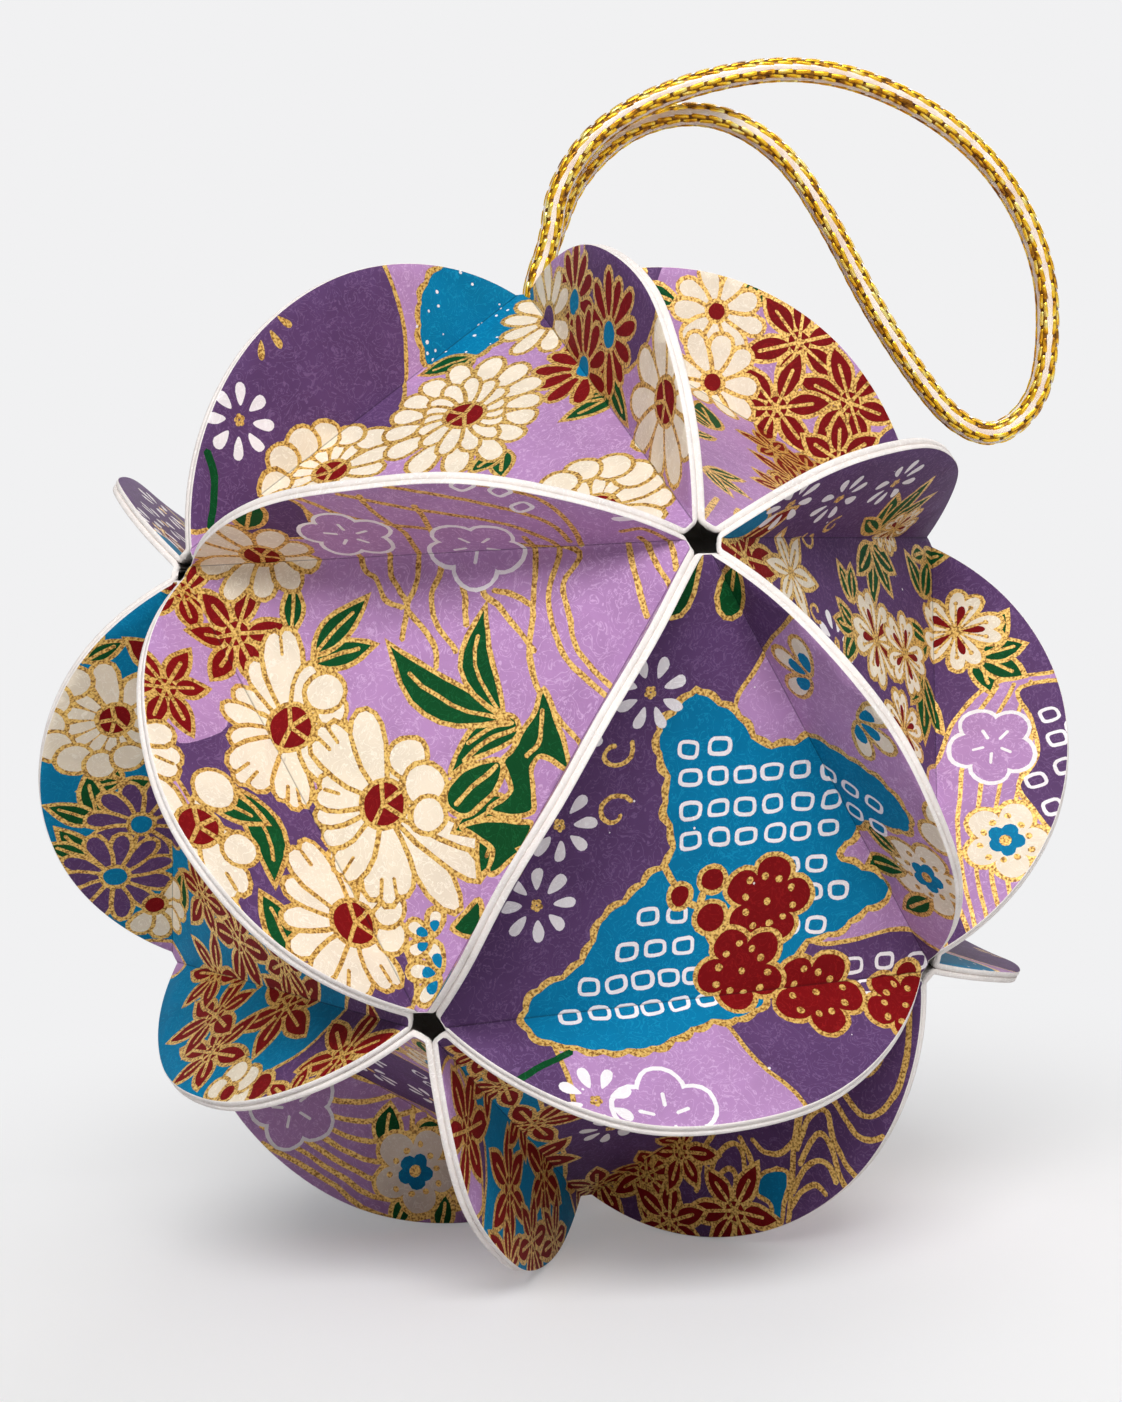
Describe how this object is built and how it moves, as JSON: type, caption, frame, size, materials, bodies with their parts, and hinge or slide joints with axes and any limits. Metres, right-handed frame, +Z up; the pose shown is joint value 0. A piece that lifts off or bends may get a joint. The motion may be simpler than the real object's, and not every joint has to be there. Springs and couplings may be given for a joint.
{
  "type": "kusudama paper ball",
  "caption": "Round hanging ornament of folded printed card discs glued flap to flap in an icosahedron, with a gold cord loop.",
  "frame": {"origin": "where the ball stands, under its middle, on the axis through the corner that the cord comes out of", "axes": "+Z up along the axis through the top and bottom corners, towards the cord; +X through a corner of the upper ring; -Y towards the viewer"},
  "size_m": [0.1008, 0.1002, 0.113],
  "materials": {
    "printed_card": "printed paper with gold ink on white card",
    "gold_cord": "metallic braid over a pale core"
  },
  "bodies": {
    "root": {"top_disc_1": "printed_card", "top_disc_2": "printed_card", "top_disc_3": "printed_card", "top_disc_4": "printed_card", "top_disc_5": "printed_card", "upper_disc_1": "printed_card", "upper_disc_2": "printed_card", "upper_disc_3": "printed_card", "upper_disc_4": "printed_card", "upper_disc_5": "printed_card", "lower_disc_1": "printed_card", "lower_disc_2": "printed_card", "lower_disc_3": "printed_card", "lower_disc_4": "printed_card", "lower_disc_5": "printed_card", "bottom_disc_1": "printed_card", "bottom_disc_2": "printed_card", "bottom_disc_3": "printed_card", "bottom_disc_4": "printed_card", "bottom_disc_5": "printed_card", "hanging_cord": "gold_cord", "cord_knot": "gold_cord"}
  },
  "joints": []
}
